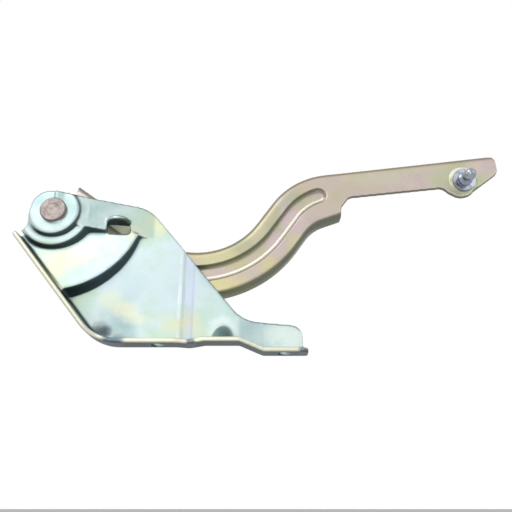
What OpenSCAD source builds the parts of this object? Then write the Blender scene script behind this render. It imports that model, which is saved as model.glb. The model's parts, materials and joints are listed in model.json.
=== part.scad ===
// Hood hinge: a stamped body bracket that carries a gooseneck hood arm on a riveted pivot,
// with a ball stud for a gas strut. Millimetres, X toward the hood end, Z up, Y away from the viewer.
// Shapes are laid out about the pivot axis (x = 0, z = 0, running along Y) and then moved so that
// the origin is the centre of the rear mounting hole, on the underside of the bracket's foot.

/* [Body bracket] */
// sheet thickness of the bracket
bracket_t = 3.5; // [2.5:0.1:4]
// inside radius of the bracket's bends
bracket_bend_r = 2.5; // [1.5:0.1:3.5]
// front edge of the bent flange and foot, in front of the main plate
foot_depth = 17.5; // [16:0.5:20]
// underside of the foot's rear pad, below the pivot
foot_drop = 104.7; // [98:0.1:110]
// how far the foot rises between its two pads
foot_rise = 1.9; // [0.5:0.1:3]
// how far the front pad lies below the rear pad
front_pad_drop = 4.8; // [3:0.1:6]
// depth of the first joggle in the plate
joggle_1 = 3.5; // [2:0.1:3.6]
// depth of the second joggle in the plate
joggle_2 = 3; // [1.5:0.1:4]
// length of the foot to its right-hand end, from the pivot
foot_end = 190.5; // [186:0.5:194]
// diameter of the two mounting holes in the foot
foot_hole_d = 9; // [7:0.1:10]

/* [Pivot boss and emboss] */
// radius of the flat round boss under the rivet head
boss_r = 19; // [18:0.1:20]
// height of the flat boss above the main plate
boss_h = 12.7; // [12:0.1:14]
// radius of the ledge around the boss
ledge_r = 27; // [25:0.1:28]
// height of the ledge above the main plate
ledge_h = 9.4; // [8.5:0.1:9.8]
// outer radius of the pressed sector, at the main plate
sector_r = 68.7; // [64:0.1:72]
// width of the sloping wall per millimetre of height
wall_slope = 0.68; // [0.55:0.01:0.8]
// width of the lanced window
window_w = 17; // [13:0.1:19]
// height of the lanced window
window_h = 7.3; // [6:0.1:8]
// length of the tab bent out above the window
tab_len = 10; // [6:0.1:12]

/* [Hood arm] */
// sheet thickness of the arm
arm_t = 3.5; // [2.5:0.1:4]
// inside radius of the arm's bends
arm_bend_r = 2; // [1.2:0.1:3]
// front face of the arm, behind the main plate's front face
arm_y = 8; // [7.8:0.1:10]
// width of the channel-shaped gooseneck
neck_w = 38.6; // [37:0.1:40]
// depth of the gooseneck's two flanges
neck_flange = 13; // [11:0.5:16]
// depth of the upper flange at the hood pads
pad_flange = 25; // [22:0.5:28]
// diameter of the holes in the two hood pads
pad_hole_d = 9; // [7:0.1:10]
// half-width of the pressed groove at the face
groove_w = 6.6; // [6:0.1:7.5]
// depth of the pressed groove
groove_d = 3.8; // [2.5:0.1:4.5]

/* [Pivot] */
// radius of the rivet shank
rivet_r = 6; // [5:0.05:7]
// gap between the rivet and the bush, on the radius
running_gap = 0.05; // [0.02:0.01:0.1]
// radius of the rivet head
rivet_head_r = 10; // [9:0.1:12]
// thickness of the rivet head
rivet_head_t = 3; // [2:0.1:4]
// wall thickness of the bush
bush_wall = 1.5; // [1:0.1:2.5]
// thickness of the thrust washer between bracket and arm
washer_t = 1.2; // [0.8:0.1:1.5]
// radius of the thrust washer
washer_r = 15.5; // [13:0.1:16.5]

/* [Ball stud] */
// diameter of the ball
ball_d = 10; // [8:0.1:13]
// distance of the ball's centre in front of the arm
ball_h = 15.5; // [14:0.1:20]
// radius of the stud's round collar
collar_r = 9.6; // [8:0.1:10.5]

/* [Hidden] */
$fn = 72;
// draft of the pressed walls, and how far a wall's inner radius steps in per millimetre of sheet
draft = atan(wall_slope);
step_in = cos(draft) - (1 - sin(draft)) * tan(draft);

// bracket path: outer face of the bent flange, a turtle walk from its upper left end
edge_a = -50.4;
edge_r = 36;
edge_p = [-32.8, -14.8];
foot_z = -foot_drop;
edge_len = (edge_p[1] - foot_z - edge_r * (1 - cos(edge_a))) / sin(-edge_a);
edge_x = edge_p[0] + edge_len * cos(edge_a) - edge_r * sin(edge_a);
// foot stations along X: first joggle, rise, then fall together with the second joggle
jog_x = [99, 108.5];
rise_x = [108.5, 119];
fall_x = [144, 161];
front_z = foot_z - front_pad_drop;
mid_z = foot_z + foot_rise;
plate_y2 = joggle_1 + joggle_2;
// plane of the pressed sector: y = tilt[0] + tilt[1] x + tilt[2] z
tilt = [-3, 0.0104, 0.0836];
// ramp of the upper strip, from the ledge down to the main plate
ramp_x = [25, 76];
ramp_m = ledge_h / (ramp_x[1] - ramp_x[0]);
window_c = [49.3, -11.9];
dart_x = 131.7;
dart_r = 8.5;
hole_a = [86, -8];
hole_b = [176, -2];
origin = [hole_a[0], hole_a[1], foot_z];

// arm path: upper edge of the gooseneck and the bar
arm_start = [4.5, 37.4];
arm_a = [-36, 55, 7.1];
arm_r = [57.9, 62];
arm_1 = 87.1;
arm_2 = 23.7;
end_r = 26.5;
neck = [[arm_1], [arm_r[0], arm_a[1] - arm_a[0]], [arm_2], [arm_r[1], arm_a[2] - arm_a[1]]];
bar = [[144.5]];
low_a = -21.07;
lower = [[90.2], [arm_r[0] + neck_w, arm_a[1] - low_a], [14], [30, -35], [18]];
lug_x = 225.2;
seam = 0.02;
groove = [[40.1], [arm_r[0] + neck_w / 2, arm_a[1] - arm_a[0]], [arm_2], [arm_r[1] - neck_w / 2, -37]];
stud_p = [327.9, 37.1];
// the stud leans down, on a tilted seat pressed in the arm
stud_lean = 8;
seat_r = 10.8;
seat_h = seat_r * tan(stud_lean);
pad_s = [27, 118];
// stack at the pivot, front to back
disc_back = -boss_h + bracket_t;
arm_boss_y = disc_back + washer_t;
arm_boss_r = 17;
arm_boss_foot = 24;
bush_flange_t = 1;
rear_y = arm_boss_y + arm_t + bush_flange_t;
rear_t = 2;

// a walk along lines [length] and arcs [radius, turn], giving points offset to the left by d
function at(p, a, d) = [p[0] - d * sin(a), p[1] + d * cos(a)];
function centre(p, a, s) = at(p, a, sign(s[1]) * s[0]);
function after(p, a, s) =
  len(s) == 1 ? [p[0] + s[0] * cos(a), p[1] + s[0] * sin(a)] : at(centre(p, a, s), a + s[1], -sign(s[1]) * s[0]);
function turned(a, s) = len(s) == 1 ? a : a + s[1];
function walk(p, a, segs, d, i = 0) =
  i >= len(segs)
    ? [at(p, a, d)]
    : concat(
        len(segs[i]) == 1
          ? [at(p, a, d)]
          : [for (k = [0 : 7]) at(after(p, a, [segs[i][0], segs[i][1] * k / 8]), a + segs[i][1] * k / 8, d)],
        walk(after(p, a, segs[i]), turned(a, segs[i]), segs, d, i + 1)
      );
function finish(p, a, segs, i = 0) = i >= len(segs) ? [p, a] : finish(after(p, a, segs[i]), turned(a, segs[i]), segs, i + 1);
function flip(v) = [for (i = [len(v) - 1 : -1 : 0]) v[i]];
function arc(c, r, a0, a1, n = 8) = [for (k = [0 : n]) [c[0] + r * cos(a0 + (a1 - a0) * k / n), c[1] + r * sin(a0 + (a1 - a0) * k / n)]];

// an outline drawn in x and z, filled from y0 back to y1
module plan(y0, y1) translate([0, y1, 0]) rotate([90, 0, 0]) linear_extrude(y1 - y0) children();
// a round shape about the pivot axis: profile in radius and height toward the viewer
module turn_about(c = [0, 0]) translate([c[0], 0, c[1]]) rotate([90, 0, 0]) rotate_extrude() children();
// a rectangle between two corners
module span2(a, b) translate([min(a[0], b[0]), min(a[1], b[1])]) square([abs(b[0] - a[0]), abs(b[1] - a[1])]);
// section of a bend: o is the outer corner, q points into the plate, p along the bent flange
module bend_section(o, q, p, t, ri, deep, lap) {
  ro = ri + t;
  span2(o + ro * q, o + (ro + lap) * q + t * p);
  span2(o + ro * p, o + t * q + deep * p);
  intersection() {
    translate(o + ro * (q + p)) difference() {
      circle(ro);
      circle(ri);
    }
    span2(o, o + ro * (q + p));
  }
}
// the same section, k inside its own faces
module inset_section(o, q, p, t, ri, deep, lap, k) bend_section(o + k * (q + p), q, p, t - 2 * k, ri + k, deep - 2 * k, lap);
// a bent flange along a walk: side +1 has the plate on the left, way -1 bends toward the viewer from depth y
module bent(p, a, segs, side, way, y, t, ri, deep, k = 0, lap = 2, i = 0)
  if (i < len(segs)) {
    s = segs[i];
    if (len(s) == 1)
      translate([p[0], 0, p[1]]) rotate([0, -a, 0]) rotate([90, 0, 90]) translate([0, 0, -0.5]) linear_extrude(s[0] + 1)
        inset_section([y, 0], [0, side], [way, 0], t, ri, deep, lap, 2 * k);
    else {
      g = sign(s[1]);
      m = centre(p, a, s);
      translate([m[0], 0, m[1]]) rotate([0, -(g > 0 ? a - 90 : a + 90 + s[1]), 0]) rotate([90, 0, 0])
        rotate_extrude(angle = abs(s[1])) inset_section([s[0], -y], [-g * side, 0], [0, -way], t, ri, deep, lap, k);
    }
    bent(after(p, a, s), turned(a, s), segs, side, way, y, t, ri, deep, k, lap, i + 1);
  }
// a straight length of the bracket's flange that climbs by my and mz per millimetre
module run(p, a, len, y, my = 0, mz = 0)
  translate([p[0], 0, p[1]]) rotate([0, -a, 0])
    multmatrix([[1, 0, 0, 0], [my, 1, 0, y], [mz, 0, 1, 0]]) rotate([90, 0, 90]) linear_extrude(len)
      bend_section([bracket_t, 0], [0, 1], [-1, 0], bracket_t, bracket_bend_r, foot_depth + bracket_t, 1);
// a groove of trapezium section along a walk
module trough(p, a, segs, y, d, w, i = 0)
  if (i < len(segs)) {
    s = segs[i];
    h = w - d * wall_slope;
    if (len(s) == 1)
      translate([p[0], 0, p[1]]) rotate([0, -a, 0]) rotate([90, 0, 90]) translate([0, 0, -0.6]) linear_extrude(s[0] + 1.2)
        polygon([
          [y + d + 0.05, -h - 0.05], [y + d + 0.05, h + 0.05], [y - 1, w + wall_slope + 0.05], [y - 1, -w - wall_slope - 0.05]
        ]);
    else {
      g = sign(s[1]);
      m = centre(p, a, s);
      translate([m[0], 0, m[1]]) rotate([0, -(g > 0 ? a - 90 : a + 90 + s[1]), 0]) rotate([90, 0, 0])
        rotate_extrude(angle = abs(s[1]))
          polygon([
            [s[0] - h, -y - d], [s[0] + h, -y - d], [s[0] + w + wall_slope, 1 - y], [s[0] - w - wall_slope, 1 - y]
          ]);
    }
    trough(after(p, a, s), turned(a, s), segs, y, d, w, i + 1);
  }

// depth of the plate's front face along X, as a plan outline filled to the back
module joggled(o, x0, x1, front)
  translate([0, 0, -130]) linear_extrude(180)
    polygon([
      [x0, front + o], [jog_x[0], front + o], [jog_x[1], front + joggle_1 + o], [fall_x[0], front + joggle_1 + o],
      [fall_x[1], front + plate_y2 + o], [x1, front + plate_y2 + o], [x1, 40], [x0, 40]
    ]);
// a round boss: flat top of radius r at height h, sloping down to the main plate and through it
module round_boss(r, h, o)
  turn_about() polygon([
    [0, -40], [r + (h + 3) * wall_slope - step_in * o, -40], [r + (h + 3) * wall_slope - step_in * o, -3 - o],
    [r - step_in * o, h - o], [0, h - o]
  ]);

// everything behind the bracket's face, moved back by o: o = 0 is the front face, o = bracket_t the back
module bracket_form(o) {
  joggled(o, -60, 230, 0);
  // pressed sector with a tilted face
  intersection() {
    turn_about() polygon([
      [0, -40], [sector_r + 3 * wall_slope - step_in * o, -40], [sector_r + 3 * wall_slope - step_in * o, -3 - o],
      [sector_r - 12 * wall_slope - step_in * o, 12 - o], [0, 12 - o]
    ]);
    multmatrix([[1, 0, 0, 0], [tilt[1], 1, tilt[2], tilt[0] + o], [0, 0, 1, 0]])
      translate([0, 50, 0]) rotate([90, 0, 0]) linear_extrude(50) polygon([
        [-80, window_c[1]], [56, window_c[1]], [74, window_c[1] - 8.5], [74, -90], [-80, -90]
      ]);
  }
  // upper strip that ramps from the ledge down to the main plate
  intersection() {
    multmatrix([[1, 0, 0, 0], [ramp_m, 1, 0, -ledge_h + o - ramp_m * ramp_x[0]], [0, 0, 1, 0]])
      translate([0, 0, -60]) cube([ramp_x[1] + 8, 60, 100]);
    multmatrix([[1, 0, 0, 0], [0, 1, 0, 0], [0, -wall_slope, 1, window_c[1] - ledge_h * wall_slope + step_in * o + wall_slope * o]])
      translate([0, -30, 0]) cube([ramp_x[1] + 8, 90, 90]);
  }
  round_boss(ledge_r, ledge_h, o);
  round_boss(boss_r, boss_h, o);
}
// the plate's edge, inset along the bends
module bracket_outline() {
  ro = bracket_bend_r + bracket_t;
  polygon(concat(
    arc([-4.2, 3], 14.5, 180, 84, 8),
    [[30, 12.2]],
    walk([62, 8.3], -8, [[0.1], [26, -42.4]], 0),
    walk([139, -74.6], -50.4, [[0.1], [24, 47.4]], 0),
    arc([foot_end - 9, front_z + 15], 9, 87, 0, 6),
    [[foot_end, front_z + ro], [fall_x[1], front_z + ro], [fall_x[0], mid_z + ro], [rise_x[1], mid_z + ro]],
    flip(walk(edge_p, edge_a, [[edge_len], [edge_r, -edge_a], [rise_x[0] - edge_x]], ro)),
    arc([-24.4, -10.6], 3.6, 262, 360, 6)
  ));
}
module dart(r) translate([dart_x, joggle_1, mid_z + bracket_t]) rotate([-45, 0, 0]) cylinder(r = r, h = 70, center = true);
module body_bracket() {
  t = bracket_t;
  a = edge_a;
  u = [cos(a), sin(a)];
  // where the sector's sloping wall crosses the flange
  s1 = cross_at(sector_r - 8.3 * wall_slope);
  s2 = cross_at(sector_r);
  m = tilt[1] * u[0] + tilt[2] * u[1];
  q = at(edge_p, a, bracket_bend_r + t);
  y1 = tilt[0] + tilt[1] * q[0] + tilt[2] * q[1];
  y2 = y1 + m * s1;
  color([0.78, 0.83, 0.78]) place() difference() {
    union() {
      intersection() {
        union() {
          intersection() {
            difference() {
              bracket_form(0);
              bracket_form(t);
            }
            plan(-40, 39) bracket_outline();
          }
          run(edge_p + 8 * u, a, s1 - 8, y1 + 8 * m, m);
          run(edge_p + s1 * u, a, s2 - s1, y2, -y2 / (s2 - s1));
          run(edge_p + s2 * u, a, edge_len - s2, 0);
          bent(edge_p + edge_len * u, a, [[edge_r, -a]], 1, -1, t, t, bracket_bend_r, foot_depth + t, 0, 1);
          run([edge_x, foot_z], 0, jog_x[0] - edge_x, 0);
          run([jog_x[0], foot_z], 0, jog_x[1] - jog_x[0], 0, joggle_1 / (jog_x[1] - jog_x[0]));
          run([rise_x[0], foot_z], 0, rise_x[1] - rise_x[0], joggle_1, 0, foot_rise / (rise_x[1] - rise_x[0]));
          run([rise_x[1], mid_z], 0, fall_x[0] - rise_x[1], joggle_1);
          run([fall_x[0], mid_z], 0, fall_x[1] - fall_x[0], joggle_1,
            joggle_2 / (fall_x[1] - fall_x[0]), (front_z - mid_z) / (fall_x[1] - fall_x[0]));
          run([fall_x[1], front_z], 0, foot_end + 3 - fall_x[1], plate_y2);
        }
        joggled(0, -60, 230, -foot_depth);
        // rounded end of the foot
        translate([0, 0, -130]) linear_extrude(180) polygon(concat(
          [[-60, 39], [-60, -30], [foot_end - 4, -30]],
          arc([foot_end - 4, plate_y2 - foot_depth + 7], 7, -90, 0, 6), [[foot_end + 3, 39]]
        ));
      }
      // dart that stiffens the corner between plate and foot
      intersection() {
        dart(dart_r);
        translate([dart_x - 20, -30, mid_z + 1]) cube([40, 30 + joggle_1 + t - 1, 40]);
      }
      window_tab();
    }
    intersection() {
      dart(dart_r - t);
      translate([dart_x - 20, -30, mid_z + 2]) cube([40, 60, 40]);
    }
    plan(-30, 30) circle(rivet_r);
    // lanced window
    plan(-14, 12) translate([window_c[0] - window_w / 2, window_c[1] - window_h / 2]) square([window_w, window_h]);
    translate([hole_a[0], hole_a[1], foot_z - 5]) cylinder(d = foot_hole_d, h = 20);
    translate([hole_b[0], hole_b[1], front_z - 5]) cylinder(d = foot_hole_d, h = 20);
  }
}
// distance along the flange's first straight at which the bend is r away from the pivot
function cross_at(r) =
  let (q = at(edge_p, edge_a, bracket_bend_r + bracket_t), b = q[0] * cos(edge_a) + q[1] * sin(edge_a))
    sqrt(r * r - q[0] * q[0] - q[1] * q[1] + b * b) - b;
// tab bent out above the window, rounded at its free end
module window_tab() {
  z = window_c[1] + window_h / 2;
  y = -ledge_h + ramp_m * (window_c[0] - ramp_x[0]);
  translate([window_c[0], 0, z]) linear_extrude(bracket_t) difference() {
    union() {
      translate([-window_w / 2, y - tab_len + 6]) square([window_w, tab_len - 4]);
      translate([0, y - tab_len + 8.5]) circle(window_w / 2);
    }
    translate([-20, y + 1.5]) square(40);
  }
}

// the arm's plate, inset along the bends
module arm_outline() {
  ro = arm_bend_r + arm_t + 1;
  low = at([0, 0], low_a, -end_r);
  polygon(concat(
    walk(arm_start, arm_a[0], concat(neck, bar), -ro),
    [[358, 50]], arc([347.5, 50], 10.5, -10, -42, 4),
    arc([stud_p[0] - 3.5, 36], 13.6, -36, -106, 6),
    arc([306.5, 21.5], 9.4, 32, 84, 5),
    arc([235.5, 16.6], 6, 97, 150, 5),
    [[226.6, 14.8], [lug_x, 12.5]],
    flip(walk(low, low_a, lower, ro)),
    arc([0, 0], end_r, 180 + 68.9, 110, 14)
  ));
}
// everything behind the arm's face, moved back by o: drawn boss and pressed groove
module arm_form(o)
  difference() {
    union() {
      translate([-60, arm_y + o, -100]) cube([460, 60, 200]);
      turn_about() polygon([
        [0, -arm_y - 5 - o], [arm_boss_foot - step_in * o, -arm_y - 5 - o], [arm_boss_foot - step_in * o, -arm_y - o],
        [arm_boss_r - step_in * o, -arm_boss_y - o], [0, -arm_boss_y - o]
      ]);
    }
    g = at(arm_start, arm_a[0], -neck_w / 2) + 47 * [cos(arm_a[0]), sin(arm_a[0])];
    gw = groove_w + step_in * o;
    trough(g, arm_a[0], groove, arm_y + o, groove_d, gw);
    for (c = [g, finish(g, arm_a[0], groove)[0]])
      translate([c[0], 0, c[1]]) rotate([90, 0, 0]) rotate_extrude() polygon([
        [0, -arm_y - o - groove_d], [gw - groove_d * wall_slope - 0.1, -arm_y - o - groove_d],
        [gw + wall_slope - 0.1, 1 - arm_y - o], [0, 1 - arm_y - o]
      ]);
  }
module hood_arm()
  color([0.82, 0.80, 0.66]) place() {
    u = finish(arm_start, arm_a[0], neck);
    e = [cos(arm_a[2]), sin(arm_a[2])];
    difference() {
      union() {
        intersection() {
          difference() {
            arm_form(0);
            arm_form(arm_t);
          }
          plan(-30, 40) arm_outline();
        }
        on_seat() translate([0, 0, -arm_t - 1]) cylinder(r = seat_r, h = arm_t + 1);
        bent(arm_start, arm_a[0], neck, -1, 1, arm_y, arm_t, arm_bend_r, neck_flange, seam);
        bent(u[0], arm_a[2], bar, -1, 1, arm_y, arm_t, arm_bend_r, pad_flange, seam);
        bent(at([0, 0], low_a, -end_r) + 12 * [cos(low_a), sin(low_a)], low_a, concat([[lower[0][0] - 12]], [for (i = [1 : 4]) lower[i]]),
          1, 1, arm_y, arm_t, arm_bend_r, neck_flange, seam);
      }
      translate([lug_x, -10, -40]) cube([40, 60, 52.5]);
      // slanted start of the deep flange
      translate([u[0][0], arm_y + neck_flange, u[0][1]]) rotate([0, -arm_a[2], 0]) rotate([90, 0, 0]) rotate([-90, 0, 0])
        translate([-1, 0, -20]) linear_extrude(40) polygon([[0, 0], [13, pad_flange - neck_flange + 1], [0, pad_flange]]);
      // upright start of the flange, beside the pivot
      translate([-20, -30, end_r + 0.4]) cube([29, 100, 30]);
      // rounded upper corner at the free end
      translate([u[0][0], 0, u[0][1]]) rotate([0, -arm_a[2], 0]) translate([bar[0][0] - 7.6, 0, -7.6]) plan(0, 60) difference() {
        square(30);
        circle(8);
      }
      plan(-30, 60) circle(rivet_r + running_gap + bush_wall);
      on_seat() translate([0, 0, -20]) cylinder(r = 4, h = 40);
      on_seat() translate([0, 0, -arm_t - 21]) cylinder(r = 6.4, h = 20);
      for (s = pad_s)
        translate([u[0][0] + s * e[0], arm_y + 14.5, u[0][1] + s * e[1]]) rotate([0, -arm_a[2], 0])
          translate([0, 0, -10]) cylinder(d = pad_hole_d, h = 20);
    }
  }

// up is along the ball stud's axis, from the middle of its tilted seat
module on_seat() translate([stud_p[0], arm_y - seat_h, stud_p[1]]) rotate([90 + stud_lean, 0, 0]) children();
// moves shapes from the pivot to the mounting origin
module place() translate(-origin) children();

module pivot_rivet()
  color([0.72, 0.68, 0.64]) place() turn_about() polygon([
    [0, -rear_y - rear_t - 3.4], [6.5, -rear_y - rear_t - 3.2], [8.6, -rear_y - rear_t - 2], [9, -rear_y - rear_t],
    [rivet_r, -rear_y - rear_t], [rivet_r, boss_h], [rivet_head_r, boss_h], [rivet_head_r, boss_h + rivet_head_t - 0.8],
    [rivet_head_r - 0.8, boss_h + rivet_head_t], [5.2, boss_h + rivet_head_t], [4.2, boss_h + rivet_head_t - 0.4],
    [0, boss_h + rivet_head_t - 0.5]
  ]);
module pivot_bush() {
  r = rivet_r + running_gap;
  color([0.62, 0.56, 0.36]) place() turn_about() polygon([
    [r, -arm_boss_y], [r + bush_wall, -arm_boss_y], [r + bush_wall, -arm_boss_y - arm_t],
    [12, -arm_boss_y - arm_t], [12, -arm_boss_y - arm_t - bush_flange_t], [r, -arm_boss_y - arm_t - bush_flange_t]
  ]);
}
module ring(y, t, r, bore) place() plan(y, y + t) difference() {
  circle(r);
  circle(bore);
}
module thrust_washer() color([0.25, 0.25, 0.26]) ring(disc_back, washer_t, washer_r, rivet_r);
module rear_washer() color([0.7, 0.7, 0.7]) ring(rear_y, rear_t, 12, rivet_r);
module ball_stud() {
  b = ball_d / 2;
  n = 3.3;
  w = sqrt(b * b - n * n);
  color([0.75, 0.76, 0.78]) place() on_seat() rotate_extrude() {
    polygon(concat(
      [[0, -arm_t - 3.6], [4.6, -arm_t - 3.6], [5.6, -arm_t - 2.9], [5.6, -arm_t - 1], [4, -arm_t - 1], [4, 0], [collar_r, 0]],
      [[collar_r, 1.9], [collar_r - 0.6, 2.5], [5.9, 2.5], [5.7, 4.6], [4.6, 5.2], [n, 6.4], [n, ball_h - seat_h - w]],
      arc([0, ball_h - seat_h], b, -acos(n / b), 90, 16)
    ));
  }
}

union() { body_bracket(); }
hood_arm();
pivot_rivet();
pivot_bush();
thrust_washer();
rear_washer();
ball_stud();
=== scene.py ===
# Hood hinge: zinc-plated pressings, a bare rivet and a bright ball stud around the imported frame
import json
import math

import bpy
import numpy as np
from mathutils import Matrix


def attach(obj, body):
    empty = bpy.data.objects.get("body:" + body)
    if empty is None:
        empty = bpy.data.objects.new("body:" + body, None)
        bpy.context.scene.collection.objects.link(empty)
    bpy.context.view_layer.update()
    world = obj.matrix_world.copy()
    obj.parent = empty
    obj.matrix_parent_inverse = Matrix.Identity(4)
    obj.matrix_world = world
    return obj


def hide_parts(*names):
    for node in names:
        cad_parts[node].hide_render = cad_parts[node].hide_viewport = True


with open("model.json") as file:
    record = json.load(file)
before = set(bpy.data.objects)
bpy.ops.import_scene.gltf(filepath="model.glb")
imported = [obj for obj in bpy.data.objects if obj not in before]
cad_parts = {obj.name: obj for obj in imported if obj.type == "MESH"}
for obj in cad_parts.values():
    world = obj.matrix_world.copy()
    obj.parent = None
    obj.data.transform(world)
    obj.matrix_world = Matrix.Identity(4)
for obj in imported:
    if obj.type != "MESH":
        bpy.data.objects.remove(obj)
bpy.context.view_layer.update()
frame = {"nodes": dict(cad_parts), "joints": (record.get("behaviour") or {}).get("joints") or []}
pivotPlace = frame["joints"][0]["pos_m"]
print("frame loaded:", sorted(frame["nodes"]))

# All lengths are in metres and all angles in degrees.

studio = {
    "cameraPlace": (0.06995, -0.3981, -0.09233),  # in front of the plate and a little below it
    "cameraTilt": 112.0,  # from looking straight down
    "lens": 40.0,  # millimetres, as the sensor's width
    "sensor": 36.0,
    "nearAndFar": (0.01, 20.0),
    "floorLevel": -0.21,
    "floorSize": 6.0,
    "floorColour": (0.84, 0.85, 0.86, 1.0),
    "floorRoughness": 0.9,
    "worldLight": 0.5,
    "lamps": (  # name, place, aim, size, watts
        ("keyLamp", (-0.55, -0.95, 0.95), (0.0, 0.0, 0.05), 0.7, 4.2),
        ("frontLamp", (-0.10, -0.9, 0.02), (-0.02, 0.0, 0.08), 0.3, 0.75),
        ("fillLamp", (0.95, -0.85, 0.25), (0.05, 0.0, 0.05), 0.8, 1.6),
        ("backLamp", (0.2, 0.9, 0.8), (0.05, 0.0, 0.1), 0.7, 4.0),
    ),
}


class Flow:
    # a socket that adds its own Math nodes when it is used in a sum
    def __init__(self, finish, socket):
        self.finish, self.socket = finish, socket

    def math(self, operation, *values):
        return self.finish.add("ShaderNodeMath", {"operation": operation}, dict(enumerate(values)))

    def __add__(self, other):
        return self.math("ADD", self, other)

    __radd__ = __add__

    def __mul__(self, other):
        return self.math("MULTIPLY", self, other)

    __rmul__ = __mul__

    def __sub__(self, other):
        return self.math("SUBTRACT", self, other)

    def __rsub__(self, other):
        return self.math("SUBTRACT", other, self)

    def __truediv__(self, other):
        return self.math("DIVIDE", self, other)

    def __pow__(self, other):
        return self.math("POWER", self, other)

    def clip(self):
        return self.finish.add("ShaderNodeClamp", {}, {"Value": self})

    def ease(self, low, high):  # 0 below low, 1 above high
        return self.finish.add("ShaderNodeMapRange", {"interpolation_type": "SMOOTHSTEP"},
                               {"Value": self, "From Min": low, "From Max": high})


class Finish:
    # one node material, or the world, written as expressions
    def __init__(self, owner):
        owner.use_nodes = True
        self.owner, self.tree = owner, owner.node_tree
        self.tree.nodes.clear()

    def add(self, kind, settings=None, sockets=None, output=0):
        node = self.tree.nodes.new(kind)
        for key, value in (settings or {}).items():
            if key == "stops":
                ramp = node.color_ramp.elements
                while len(ramp) < len(value):
                    ramp.new(0.5)
                for stop, (place, colour) in zip(ramp, value):
                    stop.position, stop.color = place, (*colour, 1.0)
            else:
                setattr(node, key, value)
        for key, value in (sockets or {}).items():
            if isinstance(value, Flow):
                self.tree.links.new(value.socket, node.inputs[key])
            else:
                node.inputs[key].default_value = value
        return Flow(self, node.outputs[output]) if len(node.outputs) else None

    def blend(self, factor, first, second):
        first, second = [c if isinstance(c, Flow) else (*c, 1.0) for c in (first, second)]
        return self.add("ShaderNodeMix", {"data_type": "RGBA"}, {0: factor, 6: first, 7: second}, 2)

    def noise(self, place, scale, detail, rough, offset=0.0):
        shift = (offset, offset * 0.7, -offset)
        moved = self.add("ShaderNodeVectorMath", {"operation": "ADD"}, {0: place, 1: shift})
        return self.add("ShaderNodeTexNoise", {},
                        {"Vector": moved, "Scale": scale, "Detail": detail, "Roughness": rough})

    def place(self):
        return self.add("ShaderNodeTexCoord", {}, {}, "Object")

    def acrossAndUp(self, place):  # x and z of a place
        return [self.add("ShaderNodeSeparateXYZ", {}, {0: place}, k) for k in (0, 2)]

    def mark(self, name):
        return self.add("ShaderNodeAttribute", {"attribute_name": name}, {}, "Fac")

    def bump(self, height, strength, distance):
        return self.add("ShaderNodeBump", {}, {"Height": height, "Strength": strength, "Distance": distance})

    def surface(self, varying, fixed):
        shader = self.add("ShaderNodeBsdfPrincipled", {}, {**varying, **fixed})
        self.add("ShaderNodeOutputMaterial", {}, {"Surface": shader})
        return self.owner


def distance(x, z, centreX, centreZ):
    return ((x - centreX) ** 2 + (z - centreZ) ** 2) ** 0.5


def makeCamera():
    data = bpy.data.cameras.new("photoCamera")
    data.lens, data.sensor_width = studio["lens"], studio["sensor"]
    data.clip_start, data.clip_end = studio["nearAndFar"]
    camera = bpy.data.objects.new("photoCamera", data)
    camera.location = studio["cameraPlace"]
    camera.rotation_euler = (math.radians(studio["cameraTilt"]), 0.0, 0.0)
    bpy.context.collection.objects.link(camera)
    bpy.context.scene.camera = camera


def makeLamps():
    for name, place, aim, size, watts in studio["lamps"]:
        data = bpy.data.lights.new(name, "AREA")
        data.energy, data.size = watts, size
        lamp = bpy.data.objects.new(name, data)
        lamp.location = place
        away = [a - b for a, b in zip(place, aim)]
        flat = math.hypot(away[0], away[1])
        lamp.rotation_euler = (math.atan2(flat, away[2]), 0.0, math.atan2(away[1], away[0]) + math.pi / 2)
        bpy.context.collection.objects.link(lamp)


def makeWorld():
    # plain white where it is seen or mirrored, and dimmer as a light
    world = bpy.data.worlds.new("studioWorld")
    bpy.context.scene.world = world
    sky = Finish(world)
    kinds = ("Is Camera Ray", "Is Glossy Ray", "Is Transmission Ray")
    rays = [sky.add("ShaderNodeLightPath", {}, {}, kind) for kind in kinds]
    seen = (rays[0] + rays[1] + rays[2]).clip()
    strength = studio["worldLight"] + seen * (1.0 - studio["worldLight"])
    back = sky.add("ShaderNodeBackground", {}, {"Color": (1.0, 1.0, 1.0, 1.0), "Strength": strength})
    sky.add("ShaderNodeOutputWorld", {}, {"Surface": back})


def makeFloor():
    bpy.ops.object.select_all(action="DESELECT")
    bpy.ops.mesh.primitive_plane_add(size=studio["floorSize"], location=(0.0, 0.0, studio["floorLevel"]))
    bpy.ops.object.transform_apply(location=True, rotation=True, scale=True)
    floor = bpy.context.object
    floor.name = "studioFloor"
    paint = Finish(bpy.data.materials.new("floorPaint"))
    look = {"Base Color": studio["floorColour"], "Roughness": studio["floorRoughness"]}
    floor.data.materials.append(paint.surface({}, look))


makeCamera()
makeLamps()
makeWorld()
makeFloor()
bpy.context.scene.view_settings.view_transform = "Standard"
print("studio ready")


# The two pressings are soft copies of their CAD sheets, with marks that tell the finish where it is.

sheet = {
    "voxel": 0.0008,
    "smoothing": 5,  # rounds, as the reaches below
    "smoothFactor": 0.5,
    "mergeWithin": 1e-6,
    "hollowReach": 14,
    "hollowGain": 9.0,
    "edgeReach": 2,
    "edgeGain": 4.0,
    "normalReach": 3,
    "downWeights": (0.80, 0.60),  # a face counts as a shaded wall if it looks down, or to the arm's free end
}


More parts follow.
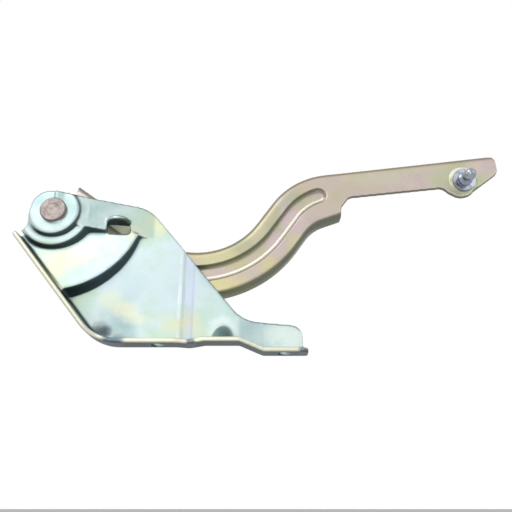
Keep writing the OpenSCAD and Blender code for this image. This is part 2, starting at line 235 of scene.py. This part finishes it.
def softPressing(nodeName, pieceName):
    # a merged copy of the CAD sheet with its pressed edges rolled over, as a die leaves them
    bpy.ops.object.select_all(action="DESELECT")
    source = frame["nodes"][nodeName]
    piece = source.copy()
    piece.data = source.data.copy()
    piece.parent = None
    piece.name = piece.data.name = pieceName
    bpy.context.collection.objects.link(piece)
    piece.select_set(True)
    bpy.context.view_layer.objects.active = piece
    bpy.ops.object.mode_set(mode="EDIT")
    bpy.ops.mesh.select_all(action="SELECT")
    bpy.ops.mesh.remove_doubles(threshold=sheet["mergeWithin"])
    bpy.ops.mesh.normals_make_consistent(inside=False)
    bpy.ops.object.mode_set(mode="OBJECT")
    for kind, settings in (
        ("REMESH", {"mode": "VOXEL", "voxel_size": sheet["voxel"]}),
        ("SMOOTH", {"iterations": sheet["smoothing"], "factor": sheet["smoothFactor"]}),
    ):
        modifier = piece.modifiers.new(kind.lower(), kind)
        for key, value in settings.items():
            setattr(modifier, key, value)
        bpy.ops.object.modifier_apply(modifier=modifier.name)
    bpy.ops.object.shade_smooth()
    print(pieceName, "faces:", len(piece.data.polygons))
    return piece


def spread(values, ends, count, rounds):
    # each vertex takes the mean of its neighbours, a few times over
    for _ in range(rounds):
        total = np.bincount(ends[:, 0], values[ends[:, 1]], len(values))
        total += np.bincount(ends[:, 1], values[ends[:, 0]], len(values))
        values = (values + total) / (1 + count)
    return values


def storeMarks(piece, marks):
    for name, values in marks.items():
        mark = piece.data.attributes.new(name, "FLOAT", "POINT")
        mark.data.foreach_set("value", np.clip(values, 0, 1).astype(np.float32))


def markForm(piece):
    # stores how hollow, how edged and how steep the sheet is at each vertex
    data = piece.data
    total = len(data.vertices)
    place, normal = np.zeros(total * 3), np.zeros(total * 3)
    data.vertices.foreach_get("co", place)
    data.vertex_normals.foreach_get("vector", normal)
    place, normal = place.reshape(-1, 3), normal.reshape(-1, 3)
    ends = np.zeros(len(data.edges) * 2, dtype=np.int64)
    data.edges.foreach_get("vertices", ends)
    ends = ends.reshape(-1, 2)
    count = np.bincount(ends.ravel(), minlength=total)
    step = place[ends[:, 1]] - place[ends[:, 0]]
    bend = np.bincount(ends[:, 0], (step * normal[ends[:, 0]]).sum(1), total)
    bend -= np.bincount(ends[:, 1], (step * normal[ends[:, 1]]).sum(1), total)
    bend /= count * sheet["voxel"]
    smooth = np.stack([spread(normal[:, k], ends, count, sheet["normalReach"]) for k in range(3)], 1)
    lookingDown, lookingOut = sheet["downWeights"]
    storeMarks(piece, {
        "hollow": sheet["hollowGain"] * spread(np.clip(bend, 0, 1), ends, count, sheet["hollowReach"]),
        "edge": sheet["edgeGain"] * spread(np.clip(-bend, 0, 1), ends, count, sheet["edgeReach"]),
        # down and up steer where painted shade and painted highlights fall
        "down": -lookingDown * smooth[:, 2] + lookingOut * np.clip(smooth[:, 0], 0, 1),
        "up": smooth[:, 2],
    })
    return place, smooth


foot = {
    "slopePlace": (-0.1188, 0.0899),  # x and z of a point on the outside of the sloping run
    "slopeAngle": 50.4,
    "lipDepth": -0.0002,  # the sheet's front edge lies in front of this
    "lipReach": 0.0074,  # and this near the foot's outside
    "lipSlant": 2.2,
    "lipStart": 0.5,
    "foldDepth": 0.0078,  # the foot's inside lies in front of this
    "foldStart": 0.35,
    "foldGain": 3.0,
    "foldEnd": -0.022,  # past here the fold's shade keeps to the back
    "foldFade": 60.0,
    "foldRise": 120.0,
}


def markFoot(piece, place, smooth):
    # stores where the bent foot's front edge gets a painted highlight, and where its fold into the plate gets
    # painted shade
    angle = math.radians(foot["slopeAngle"])
    across, up = math.sin(angle), math.cos(angle)
    slopeX, slopeZ = foot["slopePlace"]
    x, y, z = place.T
    rim = np.minimum((x - slopeX) * across + (z - slopeZ) * up, z)
    lip = np.clip(-smooth[:, 1] * foot["lipSlant"] - foot["lipStart"], 0, 1)
    fold = np.clip((across * smooth[:, 0] + up * smooth[:, 2] - foot["foldStart"]) * foot["foldGain"], 0, 1)
    shade = (foot["foldEnd"] - x) * foot["foldFade"] + np.clip(y * foot["foldRise"], 0, 1)
    storeMarks(piece, {
        "lip": lip * (y < foot["lipDepth"]) * (rim < foot["lipReach"]),
        "fold": fold * (y < foot["foldDepth"]) * np.clip(shade, 0, 1),
    })


bracket = softPressing("body_bracket", "bracketSheet")
arm = softPressing("hood_arm", "armSheet")
markFoot(bracket, *markForm(bracket))
markForm(arm)


# The zinc film drifts between colours, with stains; walls, hollows, bends and folds get painted shade, and
# edges painted highlights.

zincFilm = {  # what both pressings share; a pair is where a mark starts to count, and where it counts in full
    "driftShare": 0.8,
    "driftNoise": (2.0, 0.5),  # detail and roughness
    "stainNoise": (70.0, 4.0, 0.6),  # scale, detail and roughness
    "stainShift": 2.0,
    "grainNoise": (900.0, 2.0, 0.6),
    "spotWander": 2.4,  # how far the stains fray a spot
    "spotRange": (-0.25, 1.05),
    "mottleRange": (0.35, 0.7),
    "mottleStrength": 0.16,
    "mottleShade": 0.72,
    # the ranges from here on set where painted shade and painted highlights start and end
    "hollowRange": (0.10, 0.95),
    "insideRange": (0.03, 0.30),
    "bendRange": (0.10, 0.45),
    "bendEnd": (0.80, 0.97),
    "wallRange": (0.22, 0.55),
    "wallEdgeLoss": 0.4,
    "grooveHighlightRange": (0.08, 0.40),
    "grooveLipHighlightRange": (0.04, 0.22),
    "grooveLipHighlightHollow": (0.01, 0.10),
    "edgeRange": (0.35, 0.95),
    "edgeDownEnd": (0.5, 0.9),
    "edgeHighlightStrength": 0.45,
    "gapRange": (0.0, 0.6),
    "gapUpEnd": (0.1, 0.5),
    "darkReflectionStrength": 0.75,
    "ringPitch": 5200.0,  # radians in a metre from the pivot
    "ringEnd": (0.0165, 0.0185),
    "relief": (0.5, 0.35, 0.10),  # of grain, stains and turning rings
    "bump": (0.16, 0.0005),
    "roughening": (0.10, 0.15, 0.05),  # by stains, hollows and grain
    "mattRange": (0.0, 0.5),
    "mattLoss": 0.85,
}
bracketZinc = {
    "film": (  # place on the ramp and colour
        (0.34, (0.26, 0.40, 0.42)), (0.44, (0.42, 0.56, 0.55)), (0.51, (0.58, 0.70, 0.69)),
        (0.58, (0.50, 0.65, 0.55)), (0.68, (0.66, 0.68, 0.46)),
    ),
    "filmScale": 17.0,
    "shift": 3.1,
    "spots": (  # x, z, half-width, half-height, colour, strength
        (0.000, 0.050, 0.050, 0.040, (0.58, 0.70, 0.74), 0.70),
        (-0.038, 0.036, 0.012, 0.008, (0.72, 0.76, 0.56), 0.55),
        (-0.028, 0.029, 0.012, 0.007, (0.78, 0.74, 0.50), 0.60),
        (-0.018, 0.022, 0.013, 0.006, (0.74, 0.76, 0.56), 0.55),
        (-0.025, 0.0895, 0.012, 0.007, (0.76, 0.74, 0.52), 0.50),
        (-0.064, 0.070, 0.016, 0.010, (0.76, 0.78, 0.52), 0.60),
        (-0.052, 0.054, 0.018, 0.008, (0.46, 0.52, 0.74), 0.40),
        (0.047, 0.026, 0.020, 0.022, (0.52, 0.68, 0.66), 0.55),
        (0.045, 0.013, 0.013, 0.013, (0.80, 0.88, 0.84), 0.65),
        # painted shade over the dart above the foot
        (0.045, 0.0105, 0.0078, 0.0092, (0.13, 0.20, 0.20), 0.85),
        (0.0205, 0.045, 0.0050, 0.080, (0.62, 0.66, 0.84), 0.60),
        # a painted highlight along the first joggle's crease, and painted shade on its riser
        (0.0130, 0.040, 0.0014, 0.060, (0.86, 0.92, 0.92), 0.75),
        (0.0155, 0.045, 0.0014, 0.070, (0.36, 0.46, 0.52), 0.50),
        # painted shade on the second joggle's riser
        (0.068, 0.020, 0.009, 0.010, (0.42, 0.54, 0.58), 0.55),
        (0.096, 0.012, 0.018, 0.016, (0.76, 0.86, 0.80), 0.75),
        # painted dark reflection in the corner where the plate meets the foot
        (-0.044, 0.0125, 0.0095, 0.0052, (0.050, 0.080, 0.120), 0.90),
    ),
    # the colours below paint light: shade on walls, hollows, bends and the fold, highlights on edges and the
    # front edge
    "wallShadeColour": (0.020, 0.042, 0.052),
    "wallShadeStrength": 0.95,
    "hollowShadeColour": (0.050, 0.095, 0.115),
    "hollowShadeStrength": 0.75,
    "bendShadeColour": (0.10, 0.17, 0.18),
    "bendShadeStrength": 0.75,
    "foldShadeStrength": 0.93,
    "edgeHighlightColour": (0.86, 0.86, 0.74),
    "lipHighlightColour": (0.82, 0.80, 0.62),
    "lipHighlightStrength": 0.85,
    "lipDarkReflections": (  # x, z and reach of the painted dark reflections on the front edge
        (-0.031, 0.000, 0.011), (0.024, 0.002, 0.005), (0.1045, -0.003, 0.007), (-0.118, 0.091, 0.009),
    ),
    "darkReflectionColour": (0.11, 0.13, 0.17),
    "metallic": 0.72,
    "roughness": 0.30,
    "matt": (-0.044, 0.0125, 0.010),  # x, z and reach of a dull patch
}
armZinc = {
    "film": (
        (0.34, (0.38, 0.44, 0.30)), (0.44, (0.52, 0.48, 0.32)), (0.51, (0.58, 0.50, 0.42)),
        (0.58, (0.55, 0.46, 0.46)), (0.68, (0.58, 0.53, 0.34)),
    ),
    "filmScale": 15.0,
    "shift": 7.4,
    "spots": (
        (0.110, 0.143, 0.030, 0.014, (0.60, 0.50, 0.44), 0.6),
        (0.088, 0.130, 0.014, 0.012, (0.62, 0.52, 0.50), 0.6),
        (0.040, 0.074, 0.026, 0.009, (0.62, 0.58, 0.34), 0.8),
        (0.066, 0.099, 0.014, 0.014, (0.60, 0.56, 0.38), 0.7),
        (0.086, 0.086, 0.010, 0.012, (0.62, 0.48, 0.54), 0.8),
        (0.100, 0.108, 0.012, 0.018, (0.64, 0.50, 0.54), 0.8),
        (0.052, 0.050, 0.026, 0.010, (0.66, 0.62, 0.30), 0.85),
        (0.082, 0.066, 0.014, 0.010, (0.64, 0.58, 0.32), 0.8),
        (0.102, 0.084, 0.010, 0.012, (0.62, 0.58, 0.36), 0.7),
        (0.190, 0.156, 0.060, 0.010, (0.60, 0.56, 0.42), 0.7),
        (0.175, 0.143, 0.040, 0.008, (0.64, 0.58, 0.52), 0.5),
        (0.150, 0.150, 0.030, 0.012, (0.60, 0.57, 0.40), 0.6),
        (0.242, 0.140, 0.030, 0.024, (0.46, 0.52, 0.34), 0.7),
        (0.257, 0.157, 0.012, 0.010, (0.66, 0.52, 0.50), 0.6),
        # the arm's rear end behind the bracket's top, painted near black as shade
        (-0.083, 0.143, 0.016, 0.012, (0.10, 0.09, 0.07), 0.95),
        # painted light on the arm where it shows through the bracket's window
        (-0.040, 0.0990, 0.015, 0.013, (1.00, 0.96, 0.74), 1.00),
    ),
    # the colours below paint light: shade on walls, hollows and bends, highlights on edges and in the groove
    "wallShadeColour": (0.095, 0.120, 0.075),
    "wallShadeStrength": 0.82,
    "wallShadeRelief": 0.65,  # how much less painted shade the groove's own walls get
    "hollowShadeColour": (0.27, 0.31, 0.26),
    "hollowShadeStrength": 0.70,
    "bendShadeColour": (0.17, 0.14, 0.09),
    "bendShadeStrength": 0.75,
    "grooveHighlightColour": (0.92, 0.90, 0.80),
    "grooveHighlightStrength": 0.85,
    "edgeHighlightColour": (0.80, 0.76, 0.60),
    "metallic": 0.70,
    "roughness": 0.32,
    "matt": (-0.040, 0.0990, 0.018),
}


def filmColour(finish, look, place, stain, grain):
    # the film on a flat sheet: a slow drift of colour, spots with frayed edges, and a fine mottle
    x, z = finish.acrossAndUp(place)
    drift = finish.noise(place, look["filmScale"], *zincFilm["driftNoise"], look["shift"])
    share = zincFilm["driftShare"]
    ramp = drift * share + stain * (1 - share)
    colour = finish.add("ShaderNodeValToRGB", {"stops": look["film"]}, {0: ramp})
    for spotX, spotZ, halfWide, halfHigh, tone, strength in look["spots"]:
        away = ((x - spotX) / halfWide) ** 2 + ((z - spotZ) / halfHigh) ** 2
        away = away + (stain - 0.5) * zincFilm["spotWander"]
        colour = finish.blend((1 - away).ease(*zincFilm["spotRange"]) * strength, colour, tone)
    mottle = (grain * 0.5 + stain * 0.5).ease(*zincFilm["mottleRange"])
    middleStop = look["film"][len(look["film"]) // 2]
    shade = [c * zincFilm["mottleShade"] for c in middleStop[1]]
    return finish.blend(mottle * zincFilm["mottleStrength"], colour, shade)


def shadeForm(finish, look, colour):
    # painted shade in hollows, on bends, on walls that look down and in the fold, painted highlights in the
    # groove and on convex edges
    hollow, edge, down, up = [finish.mark(name) for name in ("hollow", "edge", "down", "up")]
    inside = hollow.ease(*zincFilm["insideRange"])
    # painted shade in hollows and concave corners
    colour = finish.blend(hollow.ease(*zincFilm["hollowRange"]) * look["hollowShadeStrength"], colour,
                          look["hollowShadeColour"])
    # painted shade on rounded bends that look partly up
    bend = up.ease(*zincFilm["bendRange"]) * (1 - up.ease(*zincFilm["bendEnd"])) * (1 - inside)
    colour = finish.blend(bend * look["bendShadeStrength"], colour, look["bendShadeColour"])
    # painted shade on walls that look down or toward the arm's free end
    wall = down.ease(*zincFilm["wallRange"]) * (1 - edge * zincFilm["wallEdgeLoss"])
    if "wallShadeRelief" in look:
        wall = wall * (1 - inside * look["wallShadeRelief"])
    colour = finish.blend(wall * look["wallShadeStrength"], colour, look["wallShadeColour"])
    # painted highlights inside the groove and along its lower lip
    if "grooveHighlightColour" in look:
        onLip = up.ease(*zincFilm["grooveLipHighlightRange"]) * hollow.ease(*zincFilm["grooveLipHighlightHollow"])
        for glint in (up.ease(*zincFilm["grooveHighlightRange"]) * inside, onLip):
            colour = finish.blend(glint * look["grooveHighlightStrength"], colour, look["grooveHighlightColour"])
    # painted shade in the foot's fold, where it meets the plate
    if "foldShadeStrength" in look:
        colour = finish.blend(finish.mark("fold") * look["foldShadeStrength"], colour, look["wallShadeColour"])
    # painted highlight along convex edges, left off those that look down
    edgeHighlightMask = edge.ease(*zincFilm["edgeRange"]) * (1 - down.ease(*zincFilm["edgeDownEnd"]))
    return finish.blend(edgeHighlightMask * zincFilm["edgeHighlightStrength"], colour, look["edgeHighlightColour"])


def paintLipHighlight(finish, look, colour, place, stain):
    # the foot's front edge gets a painted highlight, broken by a few painted dark reflections
    x, z = finish.acrossAndUp(place)
    lip, up = finish.mark("lip"), finish.mark("up")
    # painted dark reflections break the foot's painted highlight
    for gapX, gapZ, reach in look["lipDarkReflections"]:
        near = 1 - distance(x, z, gapX, gapZ) / reach + (stain - 0.5)
        gap = near.ease(*zincFilm["gapRange"])
        lip = lip * (1 - gap)
        onFace = 1 - up.ease(*zincFilm["gapUpEnd"])
        colour = finish.blend(gap * onFace * zincFilm["darkReflectionStrength"], colour, look["darkReflectionColour"])
    # painted highlight on the foot's front edge
    return finish.blend(lip * look["lipHighlightStrength"], colour, look["lipHighlightColour"])


def turningRings(finish, x, z):
    # fine rings around the pivot, as a spinning tool leaves them
    radius = distance(x, z, pivotPlace[0], pivotPlace[2])
    wave = finish.add("ShaderNodeMath", {"operation": "SINE"}, {0: radius * zincFilm["ringPitch"]})
    return wave * (1 - radius.ease(*zincFilm["ringEnd"]))


def zincFinish(name, look):
    finish = Finish(bpy.data.materials.new(name))
    place = finish.place()
    x, z = finish.acrossAndUp(place)
    stain = finish.noise(place, *zincFilm["stainNoise"], look["shift"] + zincFilm["stainShift"])
    grain = finish.noise(place, *zincFilm["grainNoise"])
    colour = filmColour(finish, look, place, stain, grain)
    colour = shadeForm(finish, look, colour)
    if "lipHighlightColour" in look:
        colour = paintLipHighlight(finish, look, colour, place, stain)
    byGrain, byStain, byRings = zincFilm["relief"]
    height = grain * byGrain + stain * byStain + turningRings(finish, x, z) * byRings
    roughStain, roughHollow, roughGrain = zincFilm["roughening"]
    rough = look["roughness"] + stain * roughStain + finish.mark("hollow") * roughHollow + grain * roughGrain
    mattX, mattZ, mattReach = look["matt"]
    matt = (1 - distance(x, z, mattX, mattZ) / mattReach).ease(*zincFilm["mattRange"])
    metal = (1 - matt * zincFilm["mattLoss"]) * look["metallic"]
    bump = finish.bump(height, *zincFilm["bump"])
    return finish.surface({"Base Color": colour, "Roughness": rough, "Metallic": metal, "Normal": bump}, {})


bracket.data.materials.clear()
bracket.data.materials.append(zincFinish("bracketZincFilm", bracketZinc))
arm.data.materials.clear()
arm.data.materials.append(zincFinish("armZincFilm", armZinc))
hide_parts("body_bracket")
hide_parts("hood_arm")
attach(bracket, "base")
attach(arm, "arm")
print("pressings finished")


# The rivet, ball stud, bush and washers keep their CAD shapes.

smallParts = {
    "pivot_rivet": {
        "base": (0.50, 0.43, 0.40), "dark": (0.20, 0.17, 0.16),
        "metallic": 0.55, "roughness": 0.48, "scale": 260.0,
        "rim": (0.0088, 0.0099),  # radii between which the head darkens
    },
    "ball_stud": {
        "base": (0.44, 0.47, 0.54), "dark": (0.13, 0.15, 0.19),
        "metallic": 0.95, "roughness": 0.16, "scale": 150.0,
    },
    "pivot_bush": {
        "base": (0.42, 0.32, 0.15), "dark": (0.20, 0.14, 0.07),
        "metallic": 0.85, "roughness": 0.42, "scale": 700.0,
    },
    "thrust_washer": {
        "base": (0.030, 0.031, 0.034), "dark": (0.012, 0.012, 0.013),
        "metallic": 0.0, "roughness": 0.55, "scale": 500.0,
    },
    "rear_washer": {
        "base": (0.55, 0.58, 0.57), "dark": (0.30, 0.33, 0.33),
        "metallic": 0.8, "roughness": 0.34, "scale": 300.0,
    },
}
smallMetal = {
    "patchNoise": (4.0, 0.62, 1.7),  # detail, roughness and offset
    "grainNoise": (2.0, 0.6, 4.2),
    "grainFineness": 5.0,  # against the patches
    "patchRange": (0.42, 0.68),
    "darkening": (0.6, 0.12),  # by patches and grain
    "rimStrength": 0.85,
    "relief": (0.7, 0.3),  # of patches and grain
    "bump": (0.25, 0.0004),
    "roughening": 0.15,
}


def smallFinish(name, look):
    finish = Finish(bpy.data.materials.new(name))
    place = finish.place()
    patch = finish.noise(place, look["scale"], *smallMetal["patchNoise"])
    grain = finish.noise(place, look["scale"] * smallMetal["grainFineness"], *smallMetal["grainNoise"])
    byPatch, byGrain = smallMetal["darkening"]
    dark = patch.ease(*smallMetal["patchRange"]) * byPatch + grain * byGrain
    colour = finish.blend(dark, look["base"], look["dark"])
    if "rim" in look:
        radius = distance(*finish.acrossAndUp(place), pivotPlace[0], pivotPlace[2])
        colour = finish.blend(radius.ease(*look["rim"]) * smallMetal["rimStrength"], colour, look["dark"])
    patchRelief, grainRelief = smallMetal["relief"]
    bump = finish.bump(patch * patchRelief + grain * grainRelief, *smallMetal["bump"])
    rough = look["roughness"] + (grain - 0.5) * smallMetal["roughening"]
    return finish.surface({"Base Color": colour, "Roughness": rough, "Normal": bump},
                          {"Metallic": look["metallic"]})


for nodeName, look in smallParts.items():
    part = frame["nodes"][nodeName]
    part.data.materials.clear()
    part.data.materials.append(smallFinish(nodeName + "Finish", look))
print("small parts finished")
